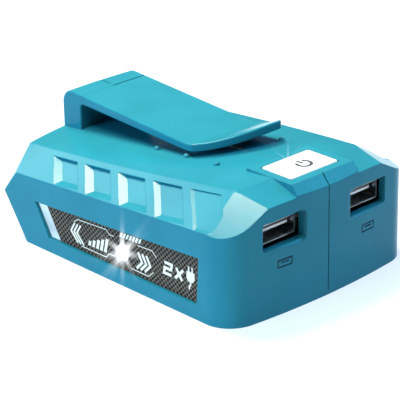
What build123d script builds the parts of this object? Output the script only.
"""USB charging adapter that slides onto a cordless tool battery.

Units are millimetres. X runs from the open rear end to the front with the two
ports, the lamp and label side is -Y, Z is up. The origin is under the middle
of the outer box, on the plane that the adapter rests on. Left and right are
as seen from the front, so left is -Y.
"""
from build123d import *
from math import asin, atan, sin, cos, sqrt
import os

os.makedirs("parts", exist_ok=True)

# Body
body_length = 102.8
body_width = 75.0
end_bow_radius = 243.0
front_corner_radius = 9.5
wall = 2.4
side_wall = 3.0
shell_gap = 0.05
seam_width = 0.4
seam_depth = 0.5
seam_start_height = 1.6
clip_seam_width = 0.3
clip_seam_end = 1.8

# Top of the body: heights at a station near the front, then slopes to the rear
top_station = 13.0
middle_station = 56.0
deck_height = 35.6
deck_slope = 0.0986
deck_crown_radius = 227.0
shoulder_width = 13.3
shoulder_rear_width = 10.0
deck_edge_bow = 1.43
shoulder_height = 27.3
shoulder_slope = 0.0687
front_edge_height = 33.76
front_slope = 0.364
front_crown = 0.66
front_crown_growth = 0.179
facet_fall_forward = 0.2514
facet_fall_outward = 0.575
facet_setback = 14.2

# Rear end
rear_station_inset = 4.0
nose_height = 14.3
nose_side_setback = 2.9
undercut_depth = 9.7
rear_lean = 2.45
rear_shoulder_setback = 6.2

# Battery bay under the body
bay_side = 6.5
bay_lip_width = 3.0
bay_lip_height = 3.6
bay_ceiling = 15.5
ceiling_thickness = 2.0
bay_stop_setback = 19.0
bay_wall = 2.0
floor_thickness = 2.0
latch_slot_length = 6.0
latch_slot_width = 16.0
latch_slot_depth = 1.4
latch_slot_from_rear = 18.8

# Grooved panels on the two shoulders
panel_first_from_rear = 17.6
panel_last_setback = 27.4
panel_width = 11.2
panel_edge_gap = 1.8
panel_depth = 1.0
panel_ramp = 2.6
panel_fade = (1.0, 1.0, 1.0, 0.72, 0.35)
panel_lean = 1.15

# Belt clip
clip_width = 26.0
clip_top_height = 40.8
clip_slope = 0.062
clip_station_from_rear = 8.4
clip_seam_from_rear = 12.2
clip_post_from_rear = 11.1
clip_bend_setback = 47.7
clip_bend_radius = 30.4
clip_tip_setback = 30.9
clip_tip_middle_setback = 32.3
clip_tip_left_setback = 42.2
clip_tip_spare = 1.0
clip_root_thickness = 2.95
clip_tip_thickness = 2.4
clip_outer_radius = 4.5
clip_inner_radius = 1.5
clip_tip_corner = 1.2
clip_slit_corner = 1.0
clip_edge_round = 0.45
nub_radius = 1.0
nub_row = 13.2
nub_pitch = 12.66
nub_first_setback = 56.76
nub_count = 3

# Raised pad round the button
pad_rear_setback = 20.1
pad_front_setback = 2.5
pad_width = 25.0
pad_height = 36.85

# Power button and its switch
button_length = 11.9
button_width = 19.0
button_centre_setback = 11.35
button_top = 37.05
button_round = 0.35
button_corner = 0.8
button_skin = 1.2
button_gap = 0.2
button_flange = 0.7
button_flange_height = 1.0
button_collar = 2.0
button_collar_height = 32.0
button_travel = 0.5
rest_gap = 0.05
stem_diameter = 3.0

# Ports
port_spacing = 34.0
port_height = 24.85
port_window_width = 16.0
port_window_height = 8.3
port_window_radius = 0.8
port_lip_chamfer = 0.35
port_rim = 1.2
port_shell_width = 13.1
port_shell_height = 5.7
port_shell_wall = 0.3
port_shell_length = 14.0
port_setback = 3.3
port_tongue_inset = 2.0
port_tongue_width = 11.1
port_tongue_thickness = 1.84
port_tongue_drop = 1.4
port_contact_pitch = 2.2
port_contact_width = 1.0
port_contact_thickness = 0.2
port_base_length = 4.0
port_leg_width = 1.8
port_leg_front = 4.6
port_leg_rear = 11.0
port_fit_gap = 0.05
mark_width = 5.6
mark_height = 2.6
mark_line = 0.5
mark_drop = 9.2
mark_depth = 0.3

# Boards and what stands on them
board_thickness = 1.6
board_side = 4.8
board_front_setback = 5.4
board_from_rear = 19.8
board_clearance = 0.3
small_board_thickness = 1.2
switch_size = 6.0
switch_height = 3.5
plunger_diameter = 3.4
plunger_gap = 0.1
plunger_bottom = 27.4
plunger_top = 30.2
lead_size = 0.64
lead_gap = 0.1
pin_pitch = 2.54
pin_setback = 18.5
button_board_top = 25.7
button_board_rear = 20.0
button_board_front = 4.0
button_board_width = 19.6
button_led_row = 6.0
button_led_length = 3.2
button_led_width = 2.8
button_led_height = 1.3
standoff_setback = 6.9
standoff_row = 7.0
standoff_diameter = 4.0
inductor_size = 12.0
inductor_height = 6.0
inductor_flange = 1.2
inductor_hub = 6.0
capacitor_setback = 40.0
capacitor_row = 9.0
capacitor_diameter = 6.3
capacitor_height = 7.5
chip_from_rear = 30.8
chip_size = 5.0

# Battery contacts
block_length = 14.0
block_width = 32.0
block_drop = 7.0
blade_spacing = 23.0
blade_thickness = 0.8
blade_length = 12.0
blade_height = 5.5
blade_bottom = 9.2

# Label, trim and lamp on the -Y side
label_front_setback = 13.8
label_from_rear = 17.7
label_bottom = 4.6
label_rear_height = 10.2
label_front_height = 14.6
label_rear_lean = 5.8
label_front_lean = 1.1
label_depth = 1.5
label_thickness = 0.5
label_clearance = 0.12
lamp_setback = 46.6
lamp_height = 10.2
lamp_diameter = 5.0
lamp_board_length = 18.0
lamp_board_thickness = 1.0
lamp_board_inset = 3.4
lamp_board_bottom = 5.0
lamp_board_top = 23.2
lamp_lens_rise = 0.25

# Screws
screw_length = 16.0
screw_diameter = 2.9
screw_head_diameter = 5.2
screw_head_height = 1.9
screw_hole_clearance = 0.3
screw_pilot_gap = 0.05
boss_diameter = 8.0
screw_seat = 9.0
screw_front_setback = 13.4
screw_front_height = 5.8
screw_rear_from_rear = 14.3
screw_rear_height = 18.8
screw_clip_from_rear = 6.6
screw_clip_height = 34.0
board_screw_length = 5.0
board_screw_diameter = 2.2
board_screw_head = 4.2
board_screw_head_height = 1.4
board_boss_diameter = 6.0
board_screw_from_rear = 24.8
board_screw_rear_side = 12.5
board_screw_front_setback = 25.5
board_screw_front_side = 9.0

half = body_width / 2
deck_half_width = half - shoulder_width
deck_rear_half_width = half - shoulder_rear_width
rear_station = body_length - rear_station_inset
bay_half_width = half - bay_side
bay_lip_half_width = bay_half_width - bay_lip_width
latch_slot_setback = body_length - latch_slot_from_rear
panel_first_setback = body_length - panel_first_from_rear
panel_pitch = (panel_first_setback - panel_last_setback) / (len(panel_fade) - 1)
clip_station = body_length - clip_station_from_rear
clip_seam_setback = body_length - clip_seam_from_rear
clip_post_setback = body_length - clip_post_from_rear
board_half_width = half - board_side
board_rear_setback = body_length - board_from_rear
chip_setback = body_length - chip_from_rear
inductor_setback = (capacitor_setback + chip_setback) / 2
label_rear_setback = body_length - label_from_rear
lamp_board_face = half - lamp_board_inset
screw_rear_setback = body_length - screw_rear_from_rear
screw_clip_setback = body_length - screw_clip_from_rear
board_screw_rear_setback = body_length - board_screw_from_rear
board_screw_rear_row = half - board_screw_rear_side
board_screw_front_row = half - board_screw_front_side
deck_rear_height = deck_height - deck_slope * (rear_station - top_station)
bay_trim = rear_lean * (bay_ceiling - nose_height) / (deck_rear_height - nose_height)
front_x = (body_length - bay_trim) / 2
rear_x = front_x - body_length
ceiling_top = bay_ceiling + ceiling_thickness
port_x = front_x - port_setback
board_top = port_height - port_shell_height / 2
board_bottom = board_top - board_thickness
big = 3 * body_length


def at(setback):
    """X of a point that lies this far behind the front."""
    return front_x - setback


def deck_z(setback):
    return deck_height - deck_slope * (setback - top_station)


def shoulder_z(setback):
    return shoulder_height - shoulder_slope * (setback - top_station)


def deck_edge(setback):
    """Half width of the deck: straight taper plus a gentle bow."""
    share = (setback - top_station) / (rear_station - top_station)
    taper = deck_half_width + (deck_rear_half_width - deck_half_width) * share
    return taper + deck_edge_bow * 4 * share * (1 - share)


def deck_top(setback, y):
    """Height of the crowned deck."""
    return deck_z(setback) + (deck_edge(setback) ** 2 - y * y) / (2 * deck_crown_radius)


def chamfer_z(setback, y):
    """Height of the sloping shoulder face at a distance from the middle plane."""
    share = (half - abs(y)) / (half - deck_edge(setback))
    return shoulder_z(setback) + (deck_z(setback) - shoulder_z(setback)) * share


def save(name, shape):
    export_step(shape, f"parts/{name}.step")


def group(*solids):
    """Several separate solids that share one node."""
    return Compound(children=list(solids))


def block(x0, x1, y0, y1, z0, z1):
    """Box from its corner coordinates."""
    size = Box(x1 - x0, y1 - y0, z1 - z0)
    return Pos((x0 + x1) / 2, (y0 + y1) / 2, (z0 + z1) / 2) * size


def rod(x, y, z0, z1, diameter):
    return Pos(x, y, (z0 + z1) / 2) * Cylinder(diameter / 2, z1 - z0)


def cross_rod(x, z, y0, y1, diameter):
    return Pos(x, (y0 + y1) / 2, z) * Rot(90, 0, 0) * Cylinder(diameter / 2, y1 - y0)


def beyond(point, normal):
    """Everything on the outer side of a plane."""
    slab = Box(big, big, big, align=(Align.CENTER, Align.CENTER, Align.MIN))
    return Plane(origin=point, z_dir=normal) * slab


def mirrored(shape):
    return mirror(shape, about=Plane.XZ)


def side_face(points):
    """Flat face in the XZ plane from (x, z) points."""
    return make_face(Plane.XZ * Polyline(*points, close=True))


# Outer form


def plan_prism(inset, front_inset):
    """Body seen from above, without its rear end, pulled in by an inset."""
    y = half - inset
    front = front_x - front_inset
    bow = y * y / (2 * end_bow_radius)
    tail = rear_x - 10
    outline = ThreePointArc((front - bow, -y), (front, 0), (front - bow, y))
    outline += Polyline((front - bow, y), (tail, y), (tail, -y), (front - bow, -y))
    face = make_face(outline)
    corners = face.vertices().group_by(Axis.X)[-1]
    face = fillet(corners, front_corner_radius - inset)
    return extrude(face, big)


def rear_form(inset):
    """Bowed rear end with its nose, turned about a far upright axis."""
    axis_x = rear_x + end_bow_radius
    top = deck_z(rear_station)
    lean = undercut_depth / nose_height
    profile = Polyline(
        (axis_x, -2),
        (rear_x + undercut_depth + 2 * lean + inset * 1.2, -2),
        (rear_x + inset * 1.2, nose_height),
        (rear_x + rear_lean + inset, top),
        (rear_x + rear_lean + inset, big),
        (axis_x, big),
        close=True,
    )
    return revolve(make_face(Plane.XZ * profile), Axis((axis_x, 0, 0), (0, 0, 1)))


def top_form(drop):
    """Crowned deck and the two sloping shoulders, lofted through four stations."""
    reach = wall
    sections = []
    for setback in (-reach, top_station, middle_station, body_length + reach):
        edge = deck_edge(setback)
        outer = half + reach
        outer_z = chamfer_z(setback, outer) - drop
        top = deck_z(setback) - drop
        sides = Polyline((edge, top), (outer, outer_z), (outer, -reach), (-outer, -reach),
                (-outer, outer_z), (-edge, top))
        crown = ThreePointArc((-edge, top), (0, deck_top(setback, 0) - drop), (edge, top))
        plane = Plane(origin=(at(setback), 0, 0), x_dir=(0, 1, 0), z_dir=(1, 0, 0))
        sections.append(plane * make_face(sides + crown))
    return loft(sections)


def front_slope_form(drop):
    """Everything above the front slope, which grows rounder towards the deck."""
    sections = []
    for setback in (-wall, deck_half_width):
        middle = front_edge_height + front_slope * setback - drop
        end = middle - (front_crown + front_crown_growth * setback) * (half / deck_half_width) ** 2
        high = deck_height + half
        edges = Polyline((half, end), (half, high), (-half, high), (-half, end))
        crown = ThreePointArc((-half, end), (0, middle), (half, end))
        plane = Plane(origin=(at(setback), 0, 0), x_dir=(0, 1, 0), z_dir=(1, 0, 0))
        sections.append(plane * make_face(edges + crown))
    return loft(sections, ruled=True)


def front_cuts(drop):
    """Front slope and the two corner facets at the front."""
    corner = (at(facet_setback), -deck_edge(facet_setback) - 0.7, deck_z(facet_setback) - drop)
    facet = beyond(corner, (facet_fall_forward, -facet_fall_outward, 1))
    return [front_slope_form(drop), facet, mirrored(facet)]


def rear_cuts(drop):
    """Facets that cut the two upper rear corners."""
    deck_point = Vector(at(rear_station), -deck_rear_half_width, deck_z(rear_station))
    nose_x = rear_x + nose_side_setback
    shoulder_x = nose_x + rear_shoulder_setback
    low = Vector(nose_x, -half, nose_height)
    mid = Vector(shoulder_x, -half, shoulder_z(front_x - shoulder_x))
    normal = (mid - low).cross(deck_point - mid).normalized()
    if normal.Z < 0:
        normal = normal * -1
    facet = beyond(mid - normal * drop, normal)
    return [facet, mirrored(facet)]


def body_form(side_inset, inset):
    """Whole outer form, pulled in from its sides and from its other faces."""
    form = plan_prism(side_inset, inset) & rear_form(inset) & top_form(inset)
    for cut in front_cuts(inset) + rear_cuts(inset):
        form -= cut
    return form


def pad_form():
    """Level pad that carries the button, with a leaning front face."""
    x0 = at(pad_rear_setback)
    foot = pad_height - deck_z(pad_rear_setback) + wall
    profile = ((x0, pad_height - foot), (x0, pad_height), (at(pad_front_setback), pad_height),
               (front_x, front_edge_height), (front_x, pad_height - foot))
    return extrude(side_face(profile), pad_width / 2, both=True)


def above_pad():
    """Space over the pad, where the deck would stand higher."""
    width = pad_width / 2
    return block(at(pad_rear_setback), front_x, -width, width, pad_height, big)


# Belt clip


def clip_line(setback):
    """Height of the clip's top face before it bends up."""
    return clip_top_height + clip_slope * (setback - clip_station)


def clip_arc(radius, start):
    """Middle and end point of the upturned tip, starting along the clip."""
    tilt = atan(-clip_slope)
    centre = (start[0] - radius * sin(tilt), start[1] + radius * cos(tilt))
    run = clip_bend_setback - clip_tip_setback + clip_tip_spare
    end_angle = asin(run / clip_bend_radius + sin(tilt))
    points = []
    for share in (0.5, 1.0):
        angle = tilt + (end_angle - tilt) * share
        points.append((centre[0] + radius * sin(angle), centre[1] - radius * cos(angle)))
    return points


def clip_profile():
    """Side view of the post and the arm as one outline."""
    bend = (at(clip_bend_setback), clip_line(clip_bend_setback))
    top_mid, top_end = clip_arc(clip_bend_radius, bend)
    low_bend = (bend[0], bend[1] - clip_tip_thickness)
    low_mid, low_end = clip_arc(clip_bend_radius + clip_tip_thickness, low_bend)
    low_root = (at(clip_post_setback), clip_line(clip_post_setback) - clip_root_thickness)
    foot = deck_z(rear_station) - 3
    rear = rear_x - 2
    top_rear = (rear, clip_line(front_x - rear))
    lines = [
        Line(low_end, top_end),
        ThreePointArc(top_end, top_mid, bend),
        Line(bend, top_rear),
        Line(top_rear, (rear, foot)),
        Line((rear, foot), (low_root[0], foot)),
        Line((low_root[0], foot), low_root),
        Line(low_root, low_bend),
        ThreePointArc(low_bend, low_mid, low_end),
    ]
    face = make_face([Plane.XZ * line for line in lines])
    inner = face.vertices().sort_by_distance((low_root[0], 0, low_root[1]))[0]
    return fillet(inner, clip_inner_radius)


def clip_plan():
    """The clip from above: its front edge is one arc that falls back on the left."""
    width = clip_width / 2
    right = at(clip_tip_setback)
    left = at(clip_tip_left_setback)
    beside = width + clip_tip_spare
    lines = [
        ThreePointArc((left, -width), (at(clip_tip_middle_setback), 0), (right, width)),
        Line((right, width), (right, beside)),
        Line((right, beside), (rear_x, beside)),
        Line((rear_x, beside), (rear_x, -beside)),
        Line((rear_x, -beside), (left, -beside)),
        Line((left, -beside), (left, -width)),
    ]
    return extrude(make_face(lines), big)


def clip_form():
    """Post and arm before they are shared between the two shells and the arm."""
    width = clip_width / 2
    form = extrude(clip_profile(), width, both=True) & clip_plan()
    tip = form.edges().filter_by(lambda e: abs(abs(e.center().Y) - width) < 0.01
                                 and e.center().X > at(clip_bend_setback) and e.length < 2 * clip_tip_thickness)
    form = fillet(tip, clip_tip_corner)
    form &= rear_form(0)
    rear_top = form.edges().filter_by(lambda e: e.center().X < at(clip_station) and e.center().Z > clip_top_height)
    form = fillet(rear_top, clip_outer_radius)
    sides = form.edges().filter_by(lambda e: abs(abs(e.center().Y) - width) < 0.01)
    return fillet(sides, clip_edge_round)


def seam_x():
    return at(clip_seam_setback)


def left_post(form):
    return form & block(rear_x - 5, seam_x(), -clip_width, 0, 0, big)


def right_stub(form):
    return form & block(rear_x - 5, seam_x() - seam_width, 0, clip_width, 0, big)


def belt_clip(form):
    arm = form & block(seam_x(), front_x, -clip_width, clip_width, 0, big)
    corner = block(seam_x() - 1, seam_x() + clip_slit_corner, clip_width / 2 - clip_slit_corner,
            clip_width, 0, big)
    corner -= rod(seam_x() + clip_slit_corner, clip_width / 2 - clip_slit_corner, 0, big,
            2 * clip_slit_corner)
    return arm - corner


def clip_seam():
    """Fine line on top of the post where the two shells meet."""
    width = clip_seam_width / 2
    line = block(rear_x - 5, seam_x() - clip_seam_end, -width, width, 0, big)
    low = (at(clip_station), 0, clip_top_height - clip_seam_width)
    return line & beyond(low, (clip_slope, 0, 1))


# Cuts in the body


def panel_cut(setback, depth):
    """Shallow pocket in one shoulder: ramps at its rear and foot, steep at its top and front."""
    top_y = -(deck_edge(setback) + panel_edge_gap)
    low_setback = setback - panel_lean * (half + top_y)
    front_setback = setback - panel_width
    front_y = -(deck_edge(front_setback) + panel_edge_gap)
    top_rear = Vector(at(setback), top_y, chamfer_z(setback, top_y))
    top_front = Vector(at(front_setback), front_y, chamfer_z(front_setback, front_y))
    low_rear = Vector(at(low_setback), -half, chamfer_z(low_setback, half))
    along = top_front - top_rear
    down = low_rear - top_rear
    normal = along.cross(down).normalized()
    if normal.Z < 0:
        normal = normal * -1
    low_front = low_rear + along
    outline = Polyline(top_rear, top_front, low_front, low_rear, close=True)
    pocket = extrude(make_face(Pos(-depth * normal) * outline), depth + 1.5, dir=normal)
    forward = along - down * (along.dot(down) / down.dot(down))
    inward = along.cross(normal)
    if inward.Y < 0:
        inward = inward * -1
    for point, inside in ((top_rear, forward), (low_rear, inward)):
        ramp = inside.normalized() * -depth - normal * panel_ramp * depth
        pocket -= beyond(point, ramp)
    return pocket


def panel_cuts():
    """All pockets of one shoulder, the last ones fading out towards the front."""
    cuts = None
    for index, share in enumerate(panel_fade):
        cut = panel_cut(panel_first_setback - index * panel_pitch, panel_depth * share)
        cuts = cut if cuts is None else cuts + cut
    return cuts


def label_form(clearance, depth):
    """Slanted four-sided pocket on the left side, or the plate that fills it."""
    front = at(label_front_setback) - clearance
    rear = at(label_rear_setback) + clearance
    low = label_bottom + clearance
    points = (
        (rear, label_bottom + label_rear_height - clearance),
        (front, label_bottom + label_front_height - clearance),
        (front - label_front_lean, low),
        (rear + label_rear_lean, low),
    )
    return Pos(0, label_depth - half, 0) * extrude(side_face(points), depth, dir=(0, -1, 0))


def port_window(side):
    """Opening in the front wall over one port, with a chamfered outer edge."""
    y = side * port_spacing / 2
    plane = Plane(origin=(front_x - wall - 2, y, port_height), x_dir=(0, 1, 0), z_dir=(1, 0, 0))
    shape = RectangleRounded(port_window_width, port_window_height, port_window_radius)
    lip = port_lip_chamfer
    bow = y * y / (2 * end_bow_radius)
    outer = Plane(origin=(front_x - bow - lip, y, port_height), x_dir=(0, 1, 0), z_dir=(1, 0, 0))
    return extrude(plane * shape, wall + 6) + extrude(outer * shape, 2 * lip, taper=-45)


def port_rims():
    """Thicker wall round both port windows, back to the mouth of the ports."""
    width = port_window_width / 2 + port_rim
    height = port_window_height / 2 + port_rim
    rims = []
    for y in (-port_spacing / 2, port_spacing / 2):
        rims.append(block(port_x, front_x, y - width, y + width, port_height - height,
                port_height + height))
    return [rim & plan_prism(side_wall / 2, wall / 2) for rim in rims]


def port_mark(side):
    """Engraved sign for a charging port: a frame with a bar in it."""
    centre = (front_x - wall + 0.5, side * port_spacing / 2, port_height - mark_drop)
    plane = Plane(origin=centre, x_dir=(0, 1, 0), z_dir=(1, 0, 0))
    frame = Rectangle(mark_width, mark_height)
    frame -= Rectangle(mark_width - 2 * mark_line, mark_height - 2 * mark_line)
    bar = Pos(0, mark_line / 2) * Rectangle(mark_width / 2, mark_line)
    return extrude(plane * frame, 4) + extrude(plane * bar, 4)


def around_button(margin, z0, z1):
    """Box with the outline of the button's cap, grown by a margin."""
    x = at(button_centre_setback)
    length = button_length / 2 + margin
    width = button_width / 2 + margin
    return block(x - length, x + length, -width, width, z0, z1)


def lower_hollows():
    """Space in front of the bay and the narrow pockets beside it."""
    stop = at(bay_stop_setback) + bay_wall
    chamber = block(stop, front_x, -half, half, floor_thickness, ceiling_top + 1)
    pocket_end = rear_x + undercut_depth + wall + 4
    pocket = block(pocket_end, stop + 1, bay_half_width + bay_wall, half, floor_thickness, ceiling_top + 1)
    return (chamber + pocket + mirrored(pocket)) & plan_prism(side_wall, wall)


def battery_bay():
    """Slide channel, open at the rear, with a lip along each side."""
    stop = at(bay_stop_setback)
    channel = block(rear_x - 5, stop, -bay_half_width, bay_half_width, bay_lip_height, bay_ceiling)
    mouth = block(rear_x - 5, stop, -bay_lip_half_width, bay_lip_half_width, -1, bay_lip_height + 1)
    latch_x = at(latch_slot_setback)
    reach = latch_slot_length / 2
    width = latch_slot_width / 2
    latch = block(latch_x - reach, latch_x + reach, -width, width, bay_ceiling - 1,
            bay_ceiling + latch_slot_depth)
    return channel + mouth + latch


def contact_block(clearance):
    """Outline of the block that carries the battery contacts."""
    front = at(bay_stop_setback) - board_clearance
    width = block_width / 2 + clearance
    low = bay_ceiling - block_drop
    return block(front - block_length - clearance, front + clearance, -width, width, low, board_bottom)


# Screws


def housing_screw_places():
    """X, Z and outer side face of each screw that joins the two shells."""
    return (
        (at(screw_front_setback), screw_front_height, half),
        (at(screw_rear_setback), screw_rear_height, half),
        (at(screw_clip_setback), screw_clip_height, clip_width / 2),
    )


def board_screw_places():
    return (
        (at(board_screw_rear_setback), board_screw_rear_row),
        (at(board_screw_rear_setback), -board_screw_rear_row),
        (at(board_screw_front_setback), board_screw_front_row),
        (at(board_screw_front_setback), -board_screw_front_row),
    )


def screw_bosses():
    """Round bosses across the body for the two screws below the top."""
    bosses = []
    for x, z, outer in housing_screw_places()[:2]:
        bosses.append(cross_rod(x, z, screw_seat - screw_length - 2, outer - side_wall / 2, boss_diameter))
    return bosses


def screw_holes():
    """Pilot, clearance hole and head well of each housing screw."""
    holes = []
    for x, z, outer in housing_screw_places():
        pilot = screw_diameter + 2 * screw_pilot_gap
        through = screw_diameter + 2 * screw_hole_clearance
        well = screw_head_diameter + 2 * screw_hole_clearance
        holes.append(cross_rod(x, z, screw_seat - screw_length - 1, 0, pilot))
        holes.append(cross_rod(x, z, -0.5, screw_seat + 0.5, through))
        holes.append(cross_rod(x, z, screw_seat, outer + 5, well))
    return holes


def cross_slots(size, depth):
    """Cross for a driver, cut down from the top of a head at the origin."""
    thin = size / 5
    long_slot = block(-size / 2, size / 2, -thin / 2, thin / 2, -depth, 1)
    wide_slot = block(-thin / 2, thin / 2, -size / 2, size / 2, -depth, 1)
    return long_slot + wide_slot


def screw(length, diameter, head_diameter, head_height):
    """Screw standing on its tip, its head seat at the origin."""
    solid = rod(0, 0, -length, 0.2, diameter) + rod(0, 0, 0, head_height, head_diameter)
    rim = solid.edges().group_by(Axis.Z)[-1]
    solid = fillet(rim, head_height / 3)
    return solid - Pos(0, 0, head_height) * cross_slots(head_diameter * 0.6, head_height / 2)


def housing_screws():
    model = screw(screw_length, screw_diameter, screw_head_diameter, screw_head_height)
    solids = []
    for x, z, outer in housing_screw_places():
        solids.append(Pos(x, screw_seat, z) * Rot(-90, 0, 0) * model)
    return solids


def board_screws():
    model = screw(board_screw_length, board_screw_diameter, board_screw_head, board_screw_head_height)
    return [Pos(x, y, board_top) * model for x, y in board_screw_places()]


# Shells


def shell_body():
    """Both shells as one piece, before they are split on the middle plane."""
    body = body_form(0, 0)
    body += pad_form() & plan_prism(0, 0)
    body -= above_pad()
    for row in (-nub_row, nub_row):
        for index in range(nub_count):
            setback = nub_first_setback - index * nub_pitch
            body += Pos(at(setback), row, deck_top(setback, row)) * Sphere(nub_radius)
    cuts = panel_cuts()
    body -= cuts
    body -= mirrored(cuts)
    body -= body_form(side_wall, wall) & block(rear_x, front_x, -half, half, ceiling_top, big)
    body -= lower_hollows()
    for x, y in board_screw_places():
        body += rod(x, y, ceiling_top - 0.5, board_bottom, board_boss_diameter)
    for boss in screw_bosses() + port_rims():
        body += boss
    form = clip_form()
    above = block(rear_x - 5, front_x, -half, half, deck_z(rear_station) - wall / 2, big)
    body += left_post(form) & above
    body += right_stub(form) & above
    body -= clip_seam()
    body += around_button(button_gap + button_collar, button_collar_height, front_edge_height)
    body -= around_button(button_gap, ceiling_top + 5, big)
    body -= battery_bay()
    body -= contact_block(board_clearance) & block(rear_x, front_x, -half, half, bay_ceiling - 1,
            ceiling_top + 1)
    for side in (-1, 1):
        body -= port_window(side)
        body -= port_mark(side) - plan_prism(0, mark_depth)
    body -= label_form(0, label_depth + 1)
    body -= cross_rod(at(lamp_setback), lamp_height, -half - 1, 1 + side_wall - half, lamp_diameter)
    for hole in screw_holes():
        body -= hole
    for x, y in board_screw_places():
        low = board_top - board_screw_length - 0.2
        body -= rod(x, y, low, board_bottom + 1, board_screw_diameter + 2 * screw_pilot_gap)
    return body


def seam_groove():
    """Fine line down the front where the two shells meet."""
    face = block(at(pad_front_setback) - 1, front_x + 5, -seam_width / 2, seam_width / 2,
            seam_start_height, big)
    fall = (pad_height - front_edge_height, 0, pad_front_setback)
    slope = beyond((at(pad_front_setback) - seam_depth, 0, pad_height), fall)
    return face - plan_prism(0, seam_depth) + (face & slope)


def split_shells():
    body = shell_body() - seam_groove()
    left = body & block(rear_x - 5, front_x + 5, -half - 5, -shell_gap / 2, -1, big)
    right = body & block(rear_x - 5, front_x + 5, shell_gap / 2, half + 5, -1, big)
    return left, right


# Power button and what stands under it


def power_button():
    bottom = button_collar_height - rest_gap - button_flange_height
    cap = around_button(0, bottom, button_top)
    cap = fillet(cap.edges().filter_by(Axis.Z), button_corner)
    cap = fillet(cap.edges().group_by(Axis.Z)[-1], button_round)
    flange = around_button(button_flange, bottom, bottom + button_flange_height)
    hollow = around_button(-button_skin, bottom - 1, button_top - button_skin)
    stem = rod(at(button_centre_setback), 0, plunger_top + rest_gap, button_top - 0.5, stem_diameter)
    return cap + flange - hollow + stem


def tact_switch():
    x = at(button_centre_setback)
    low = button_board_top
    body = block(x - switch_size / 2, x + switch_size / 2, -switch_size / 2, switch_size / 2, low,
            low + switch_height)
    pocket = plunger_diameter + 2 * plunger_gap
    return body - rod(x, 0, plunger_bottom - button_travel - plunger_gap, low + switch_height + 1, pocket)


def switch_plunger():
    return rod(at(button_centre_setback), 0, plunger_bottom, plunger_top, plunger_diameter)


def pin_places():
    x = at(pin_setback)
    return [(x, (index - 1.5) * pin_pitch) for index in range(4)]


def square_pin(x, y, z0, z1, size):
    return block(x - size / 2, x + size / 2, y - size / 2, y + size / 2, z0, z1)


def button_board():
    low = button_board_top - small_board_thickness
    width = button_board_width / 2
    board = block(at(button_board_rear), at(button_board_front), -width, width, low, button_board_top)
    for x, y in pin_places():
        board -= square_pin(x, y, low - 1, button_board_top + 1, lead_size + 2 * lead_gap)
    return board


def button_pins():
    return [square_pin(x, y, board_bottom - 0.6, button_board_top + 0.4, lead_size) for x,
            y in pin_places()]


def board_standoffs():
    low = button_board_top - small_board_thickness
    return [rod(at(standoff_setback), y, board_top, low, standoff_diameter) for y in (-standoff_row,
            standoff_row)]


def button_leds():
    x = at(button_centre_setback)
    leds = []
    length = button_led_length / 2
    width = button_led_width / 2
    top = button_board_top + button_led_height
    for y in (-button_led_row, button_led_row):
        leds.append(block(x - length, x + length, y - width, y + width, button_board_top, top))
    return leds


# Ports


def port_leg_boxes(side, gap):
    """Four mounting legs of one metal shell, or the slots they pass through."""
    boxes = []
    outer = port_shell_width / 2
    length = port_leg_width / 2 + gap
    reach = port_shell_wall / 2 + gap
    for x in (port_x - port_leg_front, port_x - port_leg_rear):
        for edge in (-1, 1):
            y = side * port_spacing / 2 + edge * (outer - port_shell_wall / 2)
            boxes.append(block(x - length, x + length, y - reach, y + reach, board_bottom - 1.0,
                    board_top + 0.4))
    return boxes


def port_lead_places(side):
    y = side * port_spacing / 2
    return [(port_x - port_shell_length - 1.0,
            y + (index - 1.5) * port_contact_pitch) for index in range(4)]


def usb_shell(side):
    y = side * port_spacing / 2
    width = port_shell_width / 2
    rear = port_x - port_shell_length
    skin = port_shell_wall
    top = board_top + port_shell_height
    outer = block(rear, port_x, y - width, y + width, board_top, top)
    outer = fillet(outer.edges().filter_by(Axis.X), 0.6)
    inner = block(rear - 1, port_x + 1, y - width + skin, y + width - skin, board_top + skin, top - skin)
    inner = fillet(inner.edges().filter_by(Axis.X), 0.3)
    shell = outer - inner
    for leg in port_leg_boxes(side, 0):
        shell += leg
    return shell


def usb_tongue(side):
    y = side * port_spacing / 2
    rear = port_x - port_shell_length
    skin = port_shell_wall + port_fit_gap
    width = port_shell_width / 2 - skin
    top = board_top + port_shell_height
    base = block(rear + 0.2, rear + port_base_length, y - width, y + width, board_top + skin, top - skin)
    base = fillet(base.edges().filter_by(Axis.X), 0.3)
    tongue_top = top - port_tongue_drop
    reach = port_tongue_width / 2
    tongue = block(rear + 1, port_x - port_tongue_inset, y - reach, y + reach,
                   tongue_top - port_tongue_thickness, tongue_top)
    tongue = fillet(tongue.edges().filter_by(Axis.Y).group_by(Axis.X)[-1], 0.4)
    solid = base + tongue
    low = tongue_top - port_tongue_thickness
    for x, lead_y in port_lead_places(side):
        width = port_contact_width / 2 + lead_gap
        solid -= block(x - 1, port_x - port_tongue_inset - 0.6, lead_y - width, lead_y + width,
                       low - lead_gap, low + port_contact_thickness + lead_gap)
    return solid


def usb_contacts(side):
    contacts = []
    low = board_top + port_shell_height - port_tongue_drop - port_tongue_thickness
    thickness = port_contact_thickness
    for x, y in port_lead_places(side):
        width = port_contact_width / 2
        strip = block(x, port_x - port_tongue_inset - 0.8, y - width, y + width, low, low + thickness)
        leg = block(x, x + thickness, y - width, y + width, board_bottom - 0.6, low + thickness)
        contacts.append(strip + leg)
    return contacts


# Main board and its parts


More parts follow.
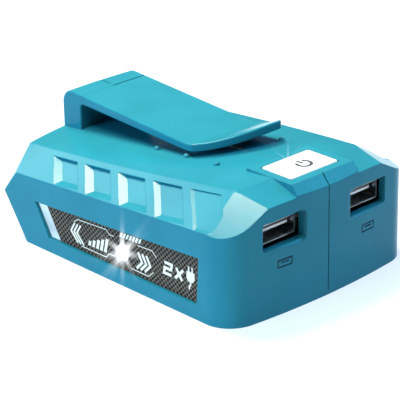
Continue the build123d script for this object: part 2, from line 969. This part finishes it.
def main_board():
    setback = board_rear_setback
    board = block(at(setback), at(board_front_setback), -board_half_width, board_half_width,
            board_bottom, board_top)
    board &= body_form(side_wall + board_clearance, wall + board_clearance)
    for x, y in board_screw_places():
        board -= rod(x, y, board_bottom - 1, board_top + 1, board_screw_diameter + 0.4)
    for x, y in pin_places():
        board -= square_pin(x, y, board_bottom - 1, board_top + 1, lead_size + 2 * lead_gap)
    for side in (-1, 1):
        for slot in port_leg_boxes(side, lead_gap):
            board -= slot
        width = port_contact_width / 2 + lead_gap
        for x, y in port_lead_places(side):
            reach = port_contact_thickness + lead_gap
            board -= block(x - lead_gap, x + reach, y - width, y + width, board_bottom - 1, board_top + 1)
        board -= blade_tail(side, lead_gap, board_bottom - 1)
    return board


def blade_tail(side, gap, z0):
    x = at(bay_stop_setback) - board_clearance - block_length / 2
    y = side * blade_spacing / 2
    reach = blade_thickness / 2 + gap
    return block(x - 1 - gap, x + 1 + gap, y - reach, y + reach, z0, board_top + 0.6)


def terminal_blade(side, gap):
    """One battery contact with its tail, or the slot it sits in."""
    rear = at(bay_stop_setback) - board_clearance - block_length - blade_length
    x = at(bay_stop_setback) - board_clearance - block_length / 2
    y = side * blade_spacing / 2
    reach = blade_thickness / 2 + gap
    blade = block(rear, x + 1 + gap, y - reach, y + reach, blade_bottom - gap,
            blade_bottom + blade_height + gap)
    return blade + blade_tail(side, gap, blade_bottom + 1)


def terminal_block():
    block_solid = contact_block(0)
    for side in (-1, 1):
        block_solid -= terminal_blade(side, lead_gap)
    return block_solid


def power_inductor():
    """Ferrite with an open side band for the coil."""
    x = at(inductor_setback)
    size = inductor_size / 2
    top = board_top + inductor_height
    core = block(x - size, x + size, -size, size, board_top, top)
    core = fillet(core.edges().filter_by(Axis.Z), 1.5)
    band = block(x - size - 1, x + size + 1, -size - 1, size + 1, board_top + inductor_flange,
            top - inductor_flange)
    hub = rod(x, 0, board_top, top, inductor_hub)
    return core - (band - hub)


def inductor_winding():
    x = at(inductor_setback)
    low = board_top + inductor_flange + lead_gap
    high = board_top + inductor_height - inductor_flange - lead_gap
    return rod(x, 0, low, high, inductor_size - 1.2) - rod(x, 0, low - 1, high + 1,
            inductor_hub + 2 * lead_gap)


def capacitors():
    cans = []
    for y in (-capacitor_row, capacitor_row):
        can = rod(at(capacitor_setback), y, board_top, board_top + capacitor_height, capacitor_diameter)
        can = fillet(can.edges().group_by(Axis.Z)[-1], 0.6)
        cans.append(can)
    return cans


def control_chip():
    x = at(chip_setback)
    size = chip_size / 2
    body = block(x - size, x + size, -size, size, board_top + 0.1, board_top + 1.5)
    for index in range(4):
        y = (index - 1.5) * 1.27
        body += block(x - size - 1.0, x + size + 1.0, y - 0.2, y + 0.2, board_top, board_top + 0.3)
    return body


# Label and lamp on the left side


def lamp_pin_boxes(gap):
    boxes = []
    outer = lamp_board_face - lamp_board_thickness
    for step in (-1, 1):
        x = at(lamp_setback) + step * pin_pitch
        reach = lead_size / 2 + gap
        boxes.append(block(x - reach, x + reach, -outer - lamp_board_thickness - 0.2, -outer + 3.2,
                           board_top - gap, board_top + lead_size + gap))
    return boxes


def lamp_board():
    x = at(lamp_setback)
    length = lamp_board_length / 2
    inner = lamp_board_face - lamp_board_thickness
    board = block(x - length, x + length, -lamp_board_face, -inner, lamp_board_bottom, lamp_board_top)
    for box in lamp_pin_boxes(lead_gap):
        board -= box
    return board


def lamp_led():
    x = at(lamp_setback)
    return block(x - 1, x + 1, -lamp_board_face - 0.9, -lamp_board_face, lamp_height - 1, lamp_height + 1)


def lamp_lens():
    rear = -lamp_board_face - 0.9 - rest_gap
    front = label_depth - half - label_thickness - lamp_lens_rise
    lens = cross_rod(at(lamp_setback), lamp_height, front, rear, lamp_diameter - 2 * rest_gap)
    return fillet(lens.edges().group_by(Axis.Y)[0], lamp_lens_rise * 1.5)


def label_plate():
    plate = label_form(label_clearance, label_thickness)
    return plate - cross_rod(at(lamp_setback), lamp_height, -half - 1, side_wall - half, lamp_diameter)


left_housing, right_housing = split_shells()
save("left_housing", left_housing)
save("right_housing", right_housing)
save("belt_clip", belt_clip(clip_form()))
save("power_button", power_button())
save("tact_switch", tact_switch())
save("switch_plunger", switch_plunger())
save("button_board", button_board())
save("button_pins", group(*button_pins()))
save("board_standoffs", group(*board_standoffs()))
save("button_leds", group(*button_leds()))
save("main_board", main_board())
save("usb_shell_left", usb_shell(-1))
save("usb_shell_right", usb_shell(1))
save("usb_tongue_left", usb_tongue(-1))
save("usb_tongue_right", usb_tongue(1))
save("usb_contacts_left", group(*usb_contacts(-1)))
save("usb_contacts_right", group(*usb_contacts(1)))
save("terminal_block", terminal_block())
save("terminal_blades", group(terminal_blade(-1, 0), terminal_blade(1, 0)))
save("power_inductor", power_inductor())
save("inductor_winding", inductor_winding())
save("capacitors", group(*capacitors()))
save("control_chip", control_chip())
save("lamp_board", lamp_board())
save("lamp_led", lamp_led())
save("lamp_pins", group(*lamp_pin_boxes(0)))
save("lamp_lens", lamp_lens())
save("label_plate", label_plate())
save("housing_screws", group(*housing_screws()))
save("board_screws", group(*board_screws()))
